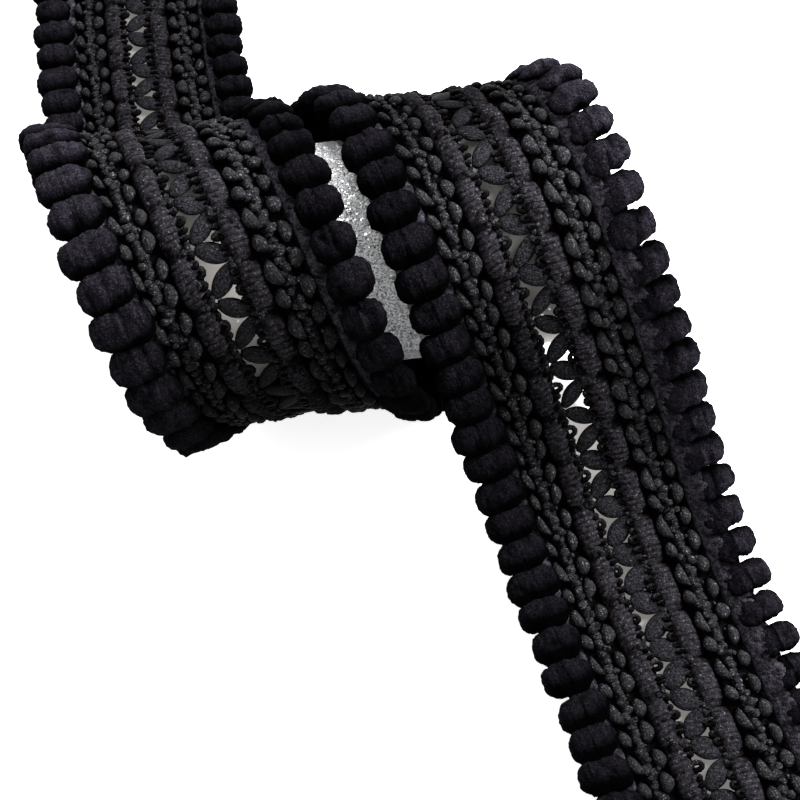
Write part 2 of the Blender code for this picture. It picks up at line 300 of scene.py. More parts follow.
# An sRGB hex colour as linear red, green, blue and alpha.
def hexColor(code):
    values = [int(code[i : i + 2], 16) / 255 for i in (1, 3, 5)]
    return (*[v / 12.92 if v <= 0.04045 else ((v + 0.055) / 1.055) ** 2.4 for v in values], 1.0)


# The outputs of a new node. Its inputs are values or the outputs that they are linked to.
def addNode(tree, kind, inputs, **settings):
    node = tree.nodes.new("ShaderNode" + kind)
    for name, value in settings.items():
        setattr(node, name, value)
    for name, value in inputs.items():
        if isinstance(value, bpy.types.NodeSocket):
            tree.links.new(value, node.inputs[name])
        else:
            node.inputs[name].default_value = value
    return node.outputs


# One step of arithmetic on values or outputs, and two colors mixed by a share.
def compute(tree, operation, *terms, **settings):
    return addNode(tree, "Math", dict(enumerate(terms)), operation=operation, **settings)["Value"]


def mixColors(tree, share, first, second):
    return addNode(tree, "Mix", {"Factor": share, 6: first, 7: second}, data_type="RGBA")[2]


# A material's tree and its shader, with the values that are the same all over the surface.
def startMaterial(name, values):
    material = bpy.data.materials.new(name)
    material.use_nodes = True
    shader = material.node_tree.nodes["Principled BSDF"]
    for socket, value in values.items():
        shader.inputs[socket].default_value = value
    return material, material.node_tree, shader


# The end of a yarn or velour: its color falls to black where the painted light attribute is low, a painted
# shade in the hollows and on sides turned from the light, and each (height, depth in mm) of reliefs is a bump
# on the one before.
def finishCloth(tree, shader, color, reliefs):
    paintedShading = addNode(tree, "Attribute", {}, attribute_name="paintedLight")["Fac"]
    shaded = mixColors(tree, paintedShading, hexColor("#010101"), color)
    tree.links.new(shaded, shader.inputs["Base Color"])
    under = {}
    for height, depth in reliefs:
        bump = {"Height": height, "Distance": depth * mm, **under}
        under = {"Normal": addNode(tree, "Bump", bump)["Normal"]}
    tree.links.new(under["Normal"], shader.inputs["Normal"])


# Twisted rayon yarn, dull black: fine filaments give a salt and pepper grain, and single ones get a painted
# glint, a highlight painted into the colour. A wave texture at scale 1 has a band every 2 pi / 20.
def rayonYarn(name, look):
    values = {"Roughness": look["roughness"], "IOR": 1.47, "Specular IOR Level": look["shine"]}
    material, tree, shader = startMaterial(name, values)
    place = addNode(tree, "TexCoord", {})["Object"]
    wave = {
        "Vector": addNode(tree, "UVMap", {}, uv_map="threadMap")["UV"],
        "Scale": 2 * math.pi / (20 * look["strand"] * mm),
        "Distortion": look["wander"],
        "Detail": 1.0,
        "Detail Scale": 0.6,
    }
    strands = addNode(tree, "TexWave", wave, wave_type="BANDS", bands_direction=look["direction"])["Fac"]
    noise = {"Vector": place, "Scale": 1 / (look["filament"] * mm), "Roughness": 0.7}
    filaments = addNode(tree, "TexNoise", noise)["Fac"]
    patches = addNode(tree, "TexNoise", {"Vector": place, "Scale": 1 / (look["patch"] * mm)})["Fac"]
    levels = {"Value": filaments, "From Min": 0.38, "From Max": 0.66, "To Min": -0.35, "To Max": 0.8}
    grain = addNode(tree, "MapRange", levels)["Result"]
    # Painted highlights: the brightest filaments are painted in a pale glint colour.
    levels = {"Value": filaments, "From Min": 0.6, "From Max": 0.72}
    paintedGlints = addNode(tree, "MapRange", levels, interpolation_type="SMOOTHSTEP")["Result"]
    streaked = compute(tree, "MULTIPLY_ADD", strands, look["streak"], grain)
    uneven = compute(tree, "MULTIPLY_ADD", patches, 0.5, streaked, use_clamp=True)
    color = hexColor(look["dark"])
    for share, shade in ((uneven, "pale"), (paintedGlints, "paintedGlint")):
        color = mixColors(tree, share, color, hexColor(look[shade]))
    finishCloth(tree, shader, color, ((strands, look["relief"]), (filaments, look["fuzz"])))
    return material


# Strand pitches and depths in mm. A real strand is about 0.3 mm, which is one pixel, so these are coarser.
yarnLooks = {
    "gimp": {
        "direction": "X", "strand": 0.5, "wander": 2.5, "relief": 0.08, "filament": 0.55, "patch": 3.0,
        "fuzz": 0.4, "streak": 0.3, "dark": "#232225", "pale": "#3b373d", "paintedGlint": "#77757e",
        "roughness": 0.55, "shine": 0.006,
    },
    "leaf": {
        "direction": "Y", "strand": 0.6, "wander": 2.2, "relief": 0.05, "filament": 0.55, "patch": 3.0,
        "fuzz": 0.35, "streak": 0.3, "dark": "#1e1e20", "pale": "#3b3a3d", "paintedGlint": "#7f7f85",
        "roughness": 0.5, "shine": 0.008,
    },
    "cord": {
        "direction": "Y", "strand": 0.55, "wander": 2.0, "relief": 0.04, "filament": 0.5, "patch": 3.0,
        "fuzz": 0.3, "streak": 0.16, "dark": "#131315", "pale": "#323136", "paintedGlint": "#545258",
        "roughness": 0.5, "shine": 0.006,
    },
    "stitch": {
        "direction": "X", "strand": 0.6, "wander": 2.0, "relief": 0.1, "filament": 0.5, "patch": 2.0,
        "fuzz": 0.4, "streak": 0.3, "dark": "#1c1c1e", "pale": "#3b3a3e", "paintedGlint": "#88878c",
        "roughness": 0.45, "shine": 0.01,
    },
}

velourLook = {
    "dark": "#1b1a1f",
    # the pale colour is painted light on the nub tops, and the speck colour a painted sheen on the tufts'
    # ends
    "pale": "#28252c",
    "paintedSheenSpeck": "#403c48",
    "nub": 1.1,  # mm between the small nubs of the pile
    "nubDepth": 0.5,
    "pile": 0.42,  # mm, drawn coarser than the pile's real tufts, which are smaller than a pixel
    "pileDepth": 0.2,
}
stripLook = {**velourLook, "dark": "#252328", "pale": "#423f47", "paintedSheenSpeck": "#54505a"}


# Cut velour pile, matt purple-black: its nub tops are painted paler, painted light on the raised nubs, and
# its tufts' ends are painted specks of sheen, the pile's frost.
def velourPile(name, look):
    values = {"Roughness": 0.95, "IOR": 1.45, "Specular IOR Level": 0.003, "Sheen Weight": 0.002}
    values.update({"Sheen Roughness": 0.6, "Sheen Tint": hexColor("#f0e6ff")})
    material, tree, shader = startMaterial(name, values)
    place = addNode(tree, "TexCoord", {})["Object"]
    noise = {"Vector": place, "Scale": 1 / (look["nub"] * mm), "Roughness": 0.55}
    nubs = addNode(tree, "TexNoise", noise)["Fac"]
    pile = addNode(tree, "TexNoise", {"Vector": place, "Scale": 1 / (look["pile"] * mm)})["Fac"]
    color = hexColor(look["dark"])
    for height, low, high, shade in ((nubs, 0.4, 0.64, "pale"), (pile, 0.5, 0.7, "paintedSheenSpeck")):
        levels = {"Value": height, "From Min": low, "From Max": high}
        share = addNode(tree, "MapRange", levels, interpolation_type="SMOOTHSTEP")["Result"]
        color = mixColors(tree, share, color, hexColor(look[shade]))
    finishCloth(tree, shader, color, ((nubs, look["nubDepth"]), (pile, look["pileDepth"])))
    return material


glitterLook = {
    "flake": 0.36,  # mm across a flake
    "tilt": 1.0,  # how far flakes lean, as a share of the surface's normal
    "glue": "#eef0f2",
    "flakeColor": "#ffffff",
    "glow": 0.24,  # a painted glow: the strip gives off light of its own, though it is no lamp
    "shining": 0.45,  # the share of flakes that lie open enough to shine
    "strip": (-7.6, 5.8),  # the glitter strip's middle along the tube and its half width, in mm
    "slant": 0.233,  # how far it goes to the right for each mm round the tube towards the viewer
    "board": "#c8c4be",
    "strays": 0.012,  # the share of the plain board's places that have a stray flake
}


# Pale card board with a strip of silver glitter round it: pale glue full of flakes, of which only some lie
# open and flash, each with its own lean, and a painted glow over the strip. A few stray flakes lie on the
# plain board.
def glitterBoard(name, look):
    values = {"Roughness": 0.3, "IOR": 1.5, "Emission Color": hexColor(look["glue"])}
    material, tree, shader = startMaterial(name, values)
    place = addNode(tree, "TexCoord", {})["Object"]
    spot = addNode(tree, "SeparateXYZ", {"Vector": addNode(tree, "UVMap", {}, uv_map="boardMap")["UV"]})
    straight = compute(tree, "MULTIPLY_ADD", spot["Y"], -look["slant"], spot["X"])
    middle, half = look["strip"]
    inStrip = compute(tree, "COMPARE", straight, middle * mm, half * mm)
    levels = {"Value": inStrip, "To Min": look["strays"], "To Max": look["shining"]}
    share = addNode(tree, "MapRange", levels)["Result"]
    flakes = addNode(tree, "TexVoronoi", {"Vector": place, "Scale": 1 / (look["flake"] * mm)})["Color"]
    draws = addNode(tree, "SeparateColor", {"Color": flakes})
    shining = compute(tree, "LESS_THAN", draws["Red"], share)
    tilt = compute(tree, "MULTIPLY", shining, look["tilt"])
    lean = addNode(tree, "VectorMath", {0: flakes, 1: (0.5, 0.5, 0.5)}, operation="SUBTRACT")["Vector"]
    lean = addNode(tree, "VectorMath", {0: lean, "Scale": tilt}, operation="SCALE")["Vector"]
    normal = addNode(tree, "NewGeometry", {})["Normal"]
    turned = addNode(tree, "VectorMath", {0: normal, 1: lean}, operation="ADD")["Vector"]
    turned = addNode(tree, "VectorMath", {0: turned}, operation="NORMALIZE")["Vector"]
    color = hexColor(look["board"])
    for part, shade in ((inStrip, "glue"), (shining, "flakeColor")):
        color = mixColors(tree, part, color, hexColor(look[shade]))
    # Painted glow: the strip gives off some light of its own, more at some flakes than at others.
    paintedGlowShare = compute(tree, "MULTIPLY", draws["Green"], inStrip)
    glow = compute(tree, "MULTIPLY", paintedGlowShare, look["glow"])
    tree.links.new(color, shader.inputs["Base Color"])
    tree.links.new(glow, shader.inputs["Emission Strength"])
    tree.links.new(shining, shader.inputs["Metallic"])
    tree.links.new(turned, shader.inputs["Normal"])
    return material


gimpYarn = rayonYarn("rayonGimpYarn", yarnLooks["gimp"])
leafYarn = rayonYarn("rayonChainYarn", yarnLooks["leaf"])
flatCord = rayonYarn("rayonFlatCord", yarnLooks["cord"])
stitchThread = rayonYarn("twistedStitchThread", yarnLooks["stitch"])
velour = velourPile("cutVelourPile", velourLook)
velourStrip = velourPile("cutVelourStrip", stripLook)
glitter = glitterBoard("silverGlitterBoard", glitterLook)
print("stage: materials made")


# The woven bands: gimp, furrow, ground under the chain and the barred stitch row, with the flat back. across
# and height are in mm. gimp, bar and pad are the line's shares of the gimp's ridges, the stitch row's bars
# and the padding's swell, and open is how much light reaches it, painted into its colour, so that the
# furrow and the ground are painted in shade.
bandLook = {
    "samplesPerTurn": 36,  # points along for one turn of the zigzag: 4 for a ridge or a bar
    "linesBetween": 2,  # on the face, while the back has only the table's lines
    "ridgesPerTurn": 9,  # and as many bars
    "roundness": 0.7,  # a lower power of the sine makes the ridges rounder
    "ridgeDepth": 0.26,
    "barDepth": 0.5,
    "pad": 0.34,
    "bulge": 0.3,  # how far the padding pushes the gimp's edges out
    "notchDepth": 1.0,  # the padding is tied down where the zigzag turns
    "notchReach": 1.35,
    "notchAfter": 0.6,
    "notchAcross": (3.5, 4.5, 0.25),  # where it begins, how far it takes to full depth, and its least share
    "gimpMiddle": 6.4,
    "ridgeLean": 0.1,
    "ridgeUneven": 0.14,
    "barUneven": 0.3,
    "lump": 0.2,
    "wobble": 0.1,
    # painted shade in the padding's notches, the ridges' valleys and between the stitch row's bars
    "paintedShade": {"notch": 0.85, "ridge": 0.62, "bar": 0.6},
    "seed": 21,
}
bandLines = columnsOf(
    "line across height gimp bar pad open",
    ("picot core", 3.25, -0.75, 0, 0, 0, 0),
    ("picot core", 3.7, -0.3, 0.3, 0, 0, 0),
    ("gimp", 4.1, 0.65, 0.8, 0, 0.5, 0.5),
    ("gimp", 4.7, 1.4, 1, 0, 1, 0.9),
    ("gimp", 5.6, 1.8, 1, 0, 1, 1),
    ("gimp", 6.5, 1.9, 1, 0, 1, 1),
    ("gimp", 7.4, 1.8, 1, 0, 1, 0.95),
    ("gimp", 8.4, 1.4, 1, 0, 1, 0.75),
    ("gimp", 9.0, 0.7, 0.8, 0, 0.6, 0.3),
    ("furrow", 9.3, -0.35, 0.2, 0, 0, 0),
    ("ground", 10.2, -0.5, 0, 0.3, 0, 0.05),
    ("ground", 12.2, -0.2, 0, 0.6, 0, 0.1),
    ("stitch row", 12.6, 0.8, 0, 1, 0, 0.7),
    ("stitch row", 13.6, 1.4, 0, 1, 0, 1),
    ("stitch row", 14.6, 0.8, 0, 1, 0, 0.7),
    ("ground", 15.0, -0.2, 0, 0.6, 0, 0.1),
    ("ground", 17.4, -0.4, 0, 0.3, 0, 0.05),
    ("outer edge", 19.4, 0.3, 0, 0.3, 0, 0.3),
    ("back", 19.4, -1.0, 0, 0, 0, 0.5),
    ("back", 16.0, -1.2, 0, -0.25, 0, 0.8),
    ("back", 12.5, -1.15, 0, -0.25, 0, 0.8),
    ("back", 9.2, -1.0, 0, 0, 0, 0.5),
    ("back", 6.6, -1.25, -0.3, 0, 0, 0.8),
    ("back", 3.9, -1.1, -0.3, 0, 0, 0.5),
)


# One band: the table's section carried along the trim. Its height is the line's own, plus the swell of its
# padding, cos of the zigzag's turn, less a ridge valley, 1 less |sin| of the ridges' turn, and a notch at
# each tie.
def wovenBand(side, look):
    hand = sides[side]
    random = np.random.default_rng(look["seed"] + hand)
    perTurn, ridgesPerTurn = look["samplesPerTurn"], look["ridgesPerTurn"]
    ends = np.interp([trim["farEnd"], trim["nearEnd"]], leftTurns, turnCount)
    samples = np.arange(math.ceil(ends[0] * perTurn), math.floor(ends[1] * perTurn) + 1) / perTurn
    turn = np.concatenate([ends[:1], samples, ends[1:]])[:, None]
    along = np.interp(turn, turnCount, leftTurns)
    faceEnd = bandLines["line"].index("back") - 1
    backLines = np.arange(faceEnd, len(bandLines["line"]))
    lines = np.concatenate([np.arange(0, faceEnd, 1 / look["linesBetween"]), backLines])
    across, height, gimp, bar, pad, paintedShading = [
        np.interp(lines, np.arange(len(column)), column)[None, :] for column in list(bandLines.values())[1:]
    ]
    ownTurn = turn if side == "left" else turn - 0.5
    ridge = 1 - np.abs(np.sin(math.pi * turn * ridgesPerTurn)) ** look["roundness"]
    bars = 1 - np.abs(np.sin(math.pi * turn * ridgesPerTurn + math.pi / 2)) ** look["roundness"]
    ridgeLifts, barLifts = random.uniform(-1, 1, (2, 1000))
    ridgeLift = ridgeLifts[np.floor(turn * ridgesPerTurn).astype(int) % 1000] * look["ridgeUneven"]
    barLift = barLifts[np.floor(turn * ridgesPerTurn + 0.5).astype(int) % 1000] * look["barUneven"]
    fromTie = (ownTurn - np.rint(ownTurn)) * trim["zigzagPitch"] - look["notchAfter"]
    begins, takes, least = look["notchAcross"]
    notch = np.exp(-((fromTie / look["notchReach"]) ** 2)) * np.clip((across - begins) / takes, least, 1)
    swell = -np.cos(2 * math.pi * ownTurn) * look["pad"]
    out = height + pad * (swell - notch * look["notchDepth"]) - look["ridgeDepth"] * gimp * ridge
    out = out + np.abs(gimp) * ridgeLift - look["barDepth"] * bar * bars + np.abs(bar) * barLift
    flat = joined(along, hand * across + trim["rowShift"], out)
    wobble = roughness(flat, look["seed"] + 5 * hand, 2.5, 7.0)
    lumps = roughness(flat, look["seed"] + 6 * hand, 0.9, 1.9)
    onFace = height > -0.9
    flat[..., 2] += (look["wobble"] * wobble + look["lump"] * lumps * (np.abs(gimp) + np.abs(bar))) * onFace
    fromMiddle = across - look["gimpMiddle"]
    lean = look["ridgeLean"] * fromMiddle * (gimp != 0) + 0.12 * wobble
    flat[1:-1, :, 0] += lean[1:-1]
    flat[..., 1] += hand * (swell - notch) * look["bulge"] * np.clip(fromMiddle / 2, -1, 1) * (gimp > 0)
    # Painted light: the line's own, painted shade in the notches, valleys and bars, and painted light on the
    # lumps and swells that stand up.
    paintedShade = look["paintedShade"]
    paintedLight = paintedShading * (1 - paintedShade["notch"] * notch * (gimp > 0))
    paintedLight = paintedLight * (1 - paintedShade["ridge"] * ridge * gimp) * (1 - paintedShade["bar"] * bars * np.abs(bar))
    paintedLight = np.clip(paintedLight * (1 + 0.5 * lumps + 0.3 * wobble), 0, 1)
    threads = joined(along, across)
    name = "wovenBand" + side.title()
    return addBodies(name, flat[None], threads[None], paintedLight[None], gimpYarn, side == "right")


# The chain rows: closed leaves of parallel yarn, big crescents and small ovals by turns. Each leaf has how
# far its middle is past the left-hand turn and across, its length and width, how far its middle bulges and
# how far its near end leans, both away from the ladder where they are positive. mm and degrees.
chainLook = {
    "rings": 9,
    "corners": 10,
    "thickness": 2.9,
    "middle": 1.1,  # the leaves' middle above the bands' middle surface
    "farDip": 1.2,  # a leaf's far end slips under the leaf behind it
    "nearLift": 0.3,
    "blunt": 0.8,
    "uneven": 0.17,
    "leanUneven": 7.0,
    "seed": 40,
}
chainLeaves = {
    ("innerChain", "right"): ((-0.6, 11.3, 7.4, 3.2, -1.25, 9), (5.1, 11.0, 5.3, 3.0, -0.4, 12)),
    ("outerChain", "right"): ((4.5, 16.8, 6.4, 3.2, 0.75, -6), (-1.8, 16.9, 5.4, 3.2, 0.35, -6)),
    ("innerChain", "left"): ((1.9, 10.7, 5.7, 3.0, -0.5, 6), (7.6, 11.2, 6.5, 3.0, -0.9, 8)),
    ("outerChain", "left"): ((1.9, 16.4, 6.8, 2.9, 1.0, -14), (8.0, 16.5, 5.3, 2.8, 0.4, -12)),
}


# Closed leaves: the half width is a power of sin along the leaf, the spine is a parabola turned by the lean,
# and the section is an ellipse that is flatter below.
def chainRow(row, side, look):
    random = np.random.default_rng(look["seed"] + len(row + side) + sides[side])
    share = np.linspace(0.04, 0.96, look["rings"])[None, :, None]
    angle = ringAngles(look["corners"])
    full = np.sin(math.pi * share) ** look["blunt"]
    dip = -look["farDip"] * (1 - share) ** 2 + look["nearLift"] * share**2
    # Painted shading: each leaf's upper side is painted lit and its underside and thin ends dark, and it is
    # painted darker towards its near end.
    paintedShading = np.clip((np.sin(angle) + 0.1) / 0.8, 0, 1) * np.clip(full * 1.8 - 0.4, 0, 1)
    bodies = []
    for after, middle, length, width, bulge, lean in chainLeaves[row, side]:
        places = placesAfterTurns(after, margin=length / 2)[:, None, None]
        vary = 1 + look["uneven"] * random.uniform(-1, 1, (len(places), 1, 1, 5))
        tilt = np.radians(lean + look["leanUneven"] * random.uniform(-1, 1, places.shape))
        halfWidth = width / 2 * full * vary[..., 0]
        halfDepth = look["thickness"] / 2 * (0.25 + 0.75 * full) * vary[..., 1]
        spine = (share - 0.5) * length * (0.9 + 0.1 * vary[..., 2])
        bow = bulge * (1 - (2 * share - 1) ** 2) - bulge * 0.6
        sideways = bow + halfWidth * np.cos(angle)
        rise = np.where(np.sin(angle) < 0, 0.6, 1.0) * halfDepth * np.sin(angle)
        out = look["middle"] + dip + rise + 0.15 * (vary[..., 3] - 1) / look["uneven"]
        along = places + spine * np.cos(tilt) - sideways * np.sin(tilt)
        across = middle + sideways * np.cos(tilt) + spine * np.sin(tilt)
        paintedLight = paintedShading * (1.05 - 0.45 * share) * np.ones_like(places)
        bodies.append((joined(along, across, out), joined(spine + places, sideways), paintedLight))
    return addOnSide(row, side, *map(np.concatenate, zip(*bodies)), leafYarn)


# Knots and beads of stitch thread, and the ties where the cord is caught into a band. Each row of them has
# how far it is past the left-hand turn, how many there are for one turn, how far across and how high they
# lie, and a knot's length, width and height, in mm.
knotLook = {"rings": 7, "corners": 9, "twist": 0.14, "lump": 0.22, "lumpSeed": 60}
# open scales the painted light of each kind, so that the ties are painted darker.
knotKinds = {
    "knots": {
        "jitter": (0.25, 0.25, 0.125), "sizes": (0.75, 1.25), "turned": (-0.7, 0.7), "open": 1.0,
        "seed": {"left": 59, "right": 61},
    },
    "ties": {
        "jitter": 0.15, "sizes": (0.85, 1.15), "turned": (0.2, 1.0), "open": 0.6,
        "seed": {"left": 73, "right": 87},
    },
}
knotRows = {
    ("knots", "right"): (
        (7.2, 1, 12.6, 1.1, (2.0, 2.4, 1.7)),
        (8.4, 1, 14.2, 1.4, (2.0, 2.5, 1.9)),
        (6.2, 1, 14.2, 1.2, (2.1, 2.3, 1.7)),
        (0.9, 1, 13.2, 1.0, (1.8, 2.6, 1.5)),
        (11.6, 1, 14.2, 1.0, (1.9, 2.2, 1.5)),
        (2.8, 1, 13.8, 1.1, (1.8, 2.4, 1.5)),
        (4.4, 1, 13.2, 1.0, (1.7, 2.2, 1.4)),
        (10.0, 1, 13.3, 1.1, (1.8, 2.4, 1.5)),
        (2.6, 2, 15.6, 1.6, (1.1, 1.1, 1.2)),
    ),
    ("knots", "left"): (
        (4.5, 1, 13.0, 1.2, (1.8, 2.4, 1.7)),
        (5.6, 1, 14.2, 1.4, (2.0, 2.4, 1.8)),
        (3.4, 1, 14.3, 1.2, (1.9, 2.2, 1.6)),
        (7.6, 1, 13.6, 1.1, (1.8, 2.4, 1.5)),
        (10.6, 1, 13.2, 1.1, (1.9, 2.4, 1.6)),
        (11.9, 1, 14.3, 1.2, (1.8, 2.2, 1.6)),
        (1.5, 1, 13.6, 1.1, (1.8, 2.4, 1.5)),
        (9.2, 1, 13.8, 1.0, (1.7, 2.2, 1.4)),
        (4.7, 2, 12.3, 1.5, (1.1, 1.1, 1.2)),
    ),
    ("ties", "right"): (
        (5.76, 1, 3.8, 0.4, (2.4, 1.6, 1.8)),
        (7.11, 1, 3.6, 0.5, (2.0, 1.6, 1.8)),
        (6.71, 1, 5.0, 0.8, (1.6, 2.0, 1.5)),
    ),
    ("ties", "left"): (
        (-0.45, 1, 3.8, 0.4, (2.4, 1.6, 1.8)),
        (0.9, 1, 3.6, 0.5, (2.0, 1.6, 1.8)),
        (0.5, 1, 5.0, 0.8, (1.6, 2.0, 1.5)),
    ),
}


# One knot for each place: an ellipsoid, sin and cos of a grid of latitudes and turns, with three twisted
# grooves and random lumps, turned by some angle in the trim's plane.
def knotPiece(piece, side, look):
    own = knotKinds[piece]
    random = np.random.default_rng(own["seed"][side])
    spots, halves = [], []
    for after, perTurn, middle, height, size in knotRows[piece, side]:
        spot = joined(placesAfterTurns(after, perTurn), middle, height)
        spots.append(spot + random.normal(size=spot.shape) * own["jitter"])
        halves.append(np.array(size) / 2 * random.uniform(*own["sizes"], (len(spot), 1)))
    spots, half = [np.concatenate(every)[:, None, None] for every in (spots, halves)]
    turned = random.uniform(*own["turned"], (len(spots), 1, 1))
    latitude = np.linspace(0.12, 0.88, look["rings"])[None, :, None] * math.pi
    angle = ringAngles(look["corners"])
    groove = 1 - look["twist"] * (0.5 + 0.5 * np.cos(3 * angle + 2.2 * latitude))
    lengthwise = -np.cos(latitude) * half[..., 0]
    sideways = np.sin(latitude) * np.cos(angle) * groove * half[..., 1]
    upward = np.sin(latitude) * np.sin(angle) * groove * half[..., 2]
    along = spots[..., 0] + lengthwise * np.cos(turned) - sideways * np.sin(turned)
    across = spots[..., 1] + sideways * np.cos(turned) + lengthwise * np.sin(turned)
    flat = joined(along, across, spots[..., 2] + upward)
    lumps = look["lump"] * roughness(flat, look["lumpSeed"], 1.3, 3.2)
    flat = flat + lumps[..., None] * (flat - spots) / half[..., :1]
    # Painted shading: the top of each knot is painted lit, and its underside, its grooves and its dips dark.
    paintedLight = np.clip((np.sin(angle) + 0.3) * 0.9, 0, 1) * np.clip(groove * 1.3 - 0.2 + lumps * 2, 0, 1)
    return addOnSide(piece, side, flat, flat[..., :2], paintedLight * own["open"], stitchThread)


# The picots that edge the ladder, on each side: how far past the left-hand turn a loop is, how far it stands
# from the gimp, its width and its thread's thickness, in mm.
picotLook = {"rings": 9, "corners": 6, "root": 4.6, "height": 0.6, "opening": 30, "jitter": 0.2, "seed": 80}
picots = {
    "left": (
        (1.4, 2.3, 2.2, 1.2),
        (3.4, 2.3, 2.2, 1.2),
        (5.9, 3.3, 3.3, 1.4),
        (8.4, 2.4, 2.3, 1.2),
        (10.2, 2.1, 2.0, 1.2),
    ),
    "right": (
        (8.01, 2.4, 2.4, 1.2),
        (10.21, 2.6, 2.5, 1.25),
        (12.51, 2.8, 2.8, 1.3),
        (14.91, 2.6, 2.5, 1.25),
        (16.71, 2.1, 2.0, 1.2),
    ),
}


# Loops: a round thread carried round an open ellipse, which starts and ends in the gimp's edge.
def picotLoops(side, look):
    random = np.random.default_rng(look["seed"] + sides[side])
    opening = math.radians(look["opening"])
    sweep = np.linspace(opening, 2 * math.pi - opening, look["rings"])[None, :, None]
    angle = ringAngles(look["corners"])
    # Painted shading: the thread's top is painted lit and its underside dark, and each loop is painted darker
    # towards where it starts.
    paintedShading = np.clip(np.sin(angle) * 1.6 - 0.5, 0, 1) * (0.6 - 0.3 * np.sin(sweep))
    paintedShading = paintedShading * (0.5 - 0.5 * np.cos(sweep / 2))
    bodies = []
    for after, reach, width, thread in picots[side]:
        places = placesAfterTurns(after)[:, None, None]
        places = places + random.normal(0, look["jitter"], places.shape)
        reach = reach * random.uniform(0.8, 1.12, places.shape)
        width = width * random.uniform(0.85, 1.12, places.shape)
        lift = random.normal(0, look["jitter"], places.shape)
        radius = thread / 2
        outward = np.cos(sweep) * (reach - radius) / 2
        lengthwise = np.sin(sweep) * (width - thread) / 2
        across = look["root"] - (reach - radius) / 2 + outward + radius * np.cos(angle) * np.cos(sweep)
        along = places + lengthwise + radius * np.cos(angle) * np.sin(sweep)
        out = look["height"] + lift + 0.35 * np.sin(sweep) + radius * np.sin(angle)
        threads = joined(places + sweep * reach / 2, angle * radius)
        bodies.append((joined(along, across, out), threads, paintedShading * np.ones_like(places)))
    return addOnSide("picots", side, *map(np.concatenate, zip(*bodies)), stitchThread, True)


# The ladder: a flat cord that runs from band to band and back, gathered thin at each turn so that every run
# is a pointed leaf. from and to are shares of half a turn. The run that leaves the left band is wider.
ladderLook = {
    "rings": 14,
    "corners": 12,
    "reach": 3.25,
    "pinch": 0.5,
    "blunt": 0.68,
    "thickness": 1.5,
    "height": 0.15,
    "ribs": 0.045,
    "uneven": 0.09,
    "bulge": 0.3,
    "seed": 90,
}
widening = columnsOf("along share", (-60, 1.15), (-20, 1.0), (305, 1.05), (335, 1.3), (407, 1.25))
runs = columnsOf("starts from to width", ("left", 0.1, 0.86, 4.5), ("right", 0.02, 0.93, 4.1))


# Leaves from turn to turn: the half width is a power of sin along the leaf, which bows a little to one side,
# and the section is a flat ellipse with ribs, cos of five times its turn.
def ladderCord(look):
    random = np.random.default_rng(look["seed"])
    turns = placesAfterTurns(0.0, 2, margin=0.5)
    counts = np.rint(np.interp(turns, leftTurns, turnCount) * 2).astype(int)[:-1]
    fromLeft = (counts % 2 == 0)[:, None, None]
    step = np.diff(turns)[:, None, None]
    turns = turns[:-1, None, None]
    first, last, width = [np.where(fromLeft, *runs[name]) for name in ("from", "to", "width")]
    width = width * np.interp(turns, widening["along"], widening["share"])
    fromPlace, toPlace = turns + first * step, turns + last * step
    start = np.where(fromLeft, -1.0, 1.0)
    share = np.linspace(0.02, 0.98, look["rings"])[None, :, None]
    angle = ringAngles(look["corners"])
    vary = 1 + look["uneven"] * random.uniform(-1, 1, (len(start), 1, 1, 4))
    full = np.sin(math.pi * share) ** look["blunt"]
    halfWidth = (look["pinch"] + (width / 2 - look["pinch"]) * full) * vary[..., 0]
    ribs = 1 + look["ribs"] * np.cos(5 * angle)
    halfDepth = look["thickness"] / 2 * (0.7 + 0.3 * full) * vary[..., 1]
    runAlong, runAcross = toPlace - fromPlace, -2 * start * look["reach"]
    length = np.hypot(runAlong, runAcross)
    sideways = halfWidth * np.cos(angle) * ribs + look["bulge"] * (vary[..., 2] - 1) / look["uneven"] * full
    along = fromPlace + runAlong * share - sideways * runAcross / length
    across = start * look["reach"] + runAcross * share + sideways * runAlong / length
    bow = 0.25 * (1 - full) + 0.3 * (vary[..., 3] - 1) / look["uneven"] * full
    flat = joined(along, across, look["height"] + halfDepth * np.sin(angle) * ribs + bow)
    threads = joined(length * share + fromPlace, sideways)
    # Painted shading: the cord's top is painted lit, and its underside and its thin ends dark.
    paintedLight = np.clip(np.sin(angle) * 1.5 + 0.1, 0, 1) * (0.25 + 0.75 * full) * np.ones_like(fromPlace)
    return addBodies("ladderCord", flat, threads, paintedLight, flatCord, True)


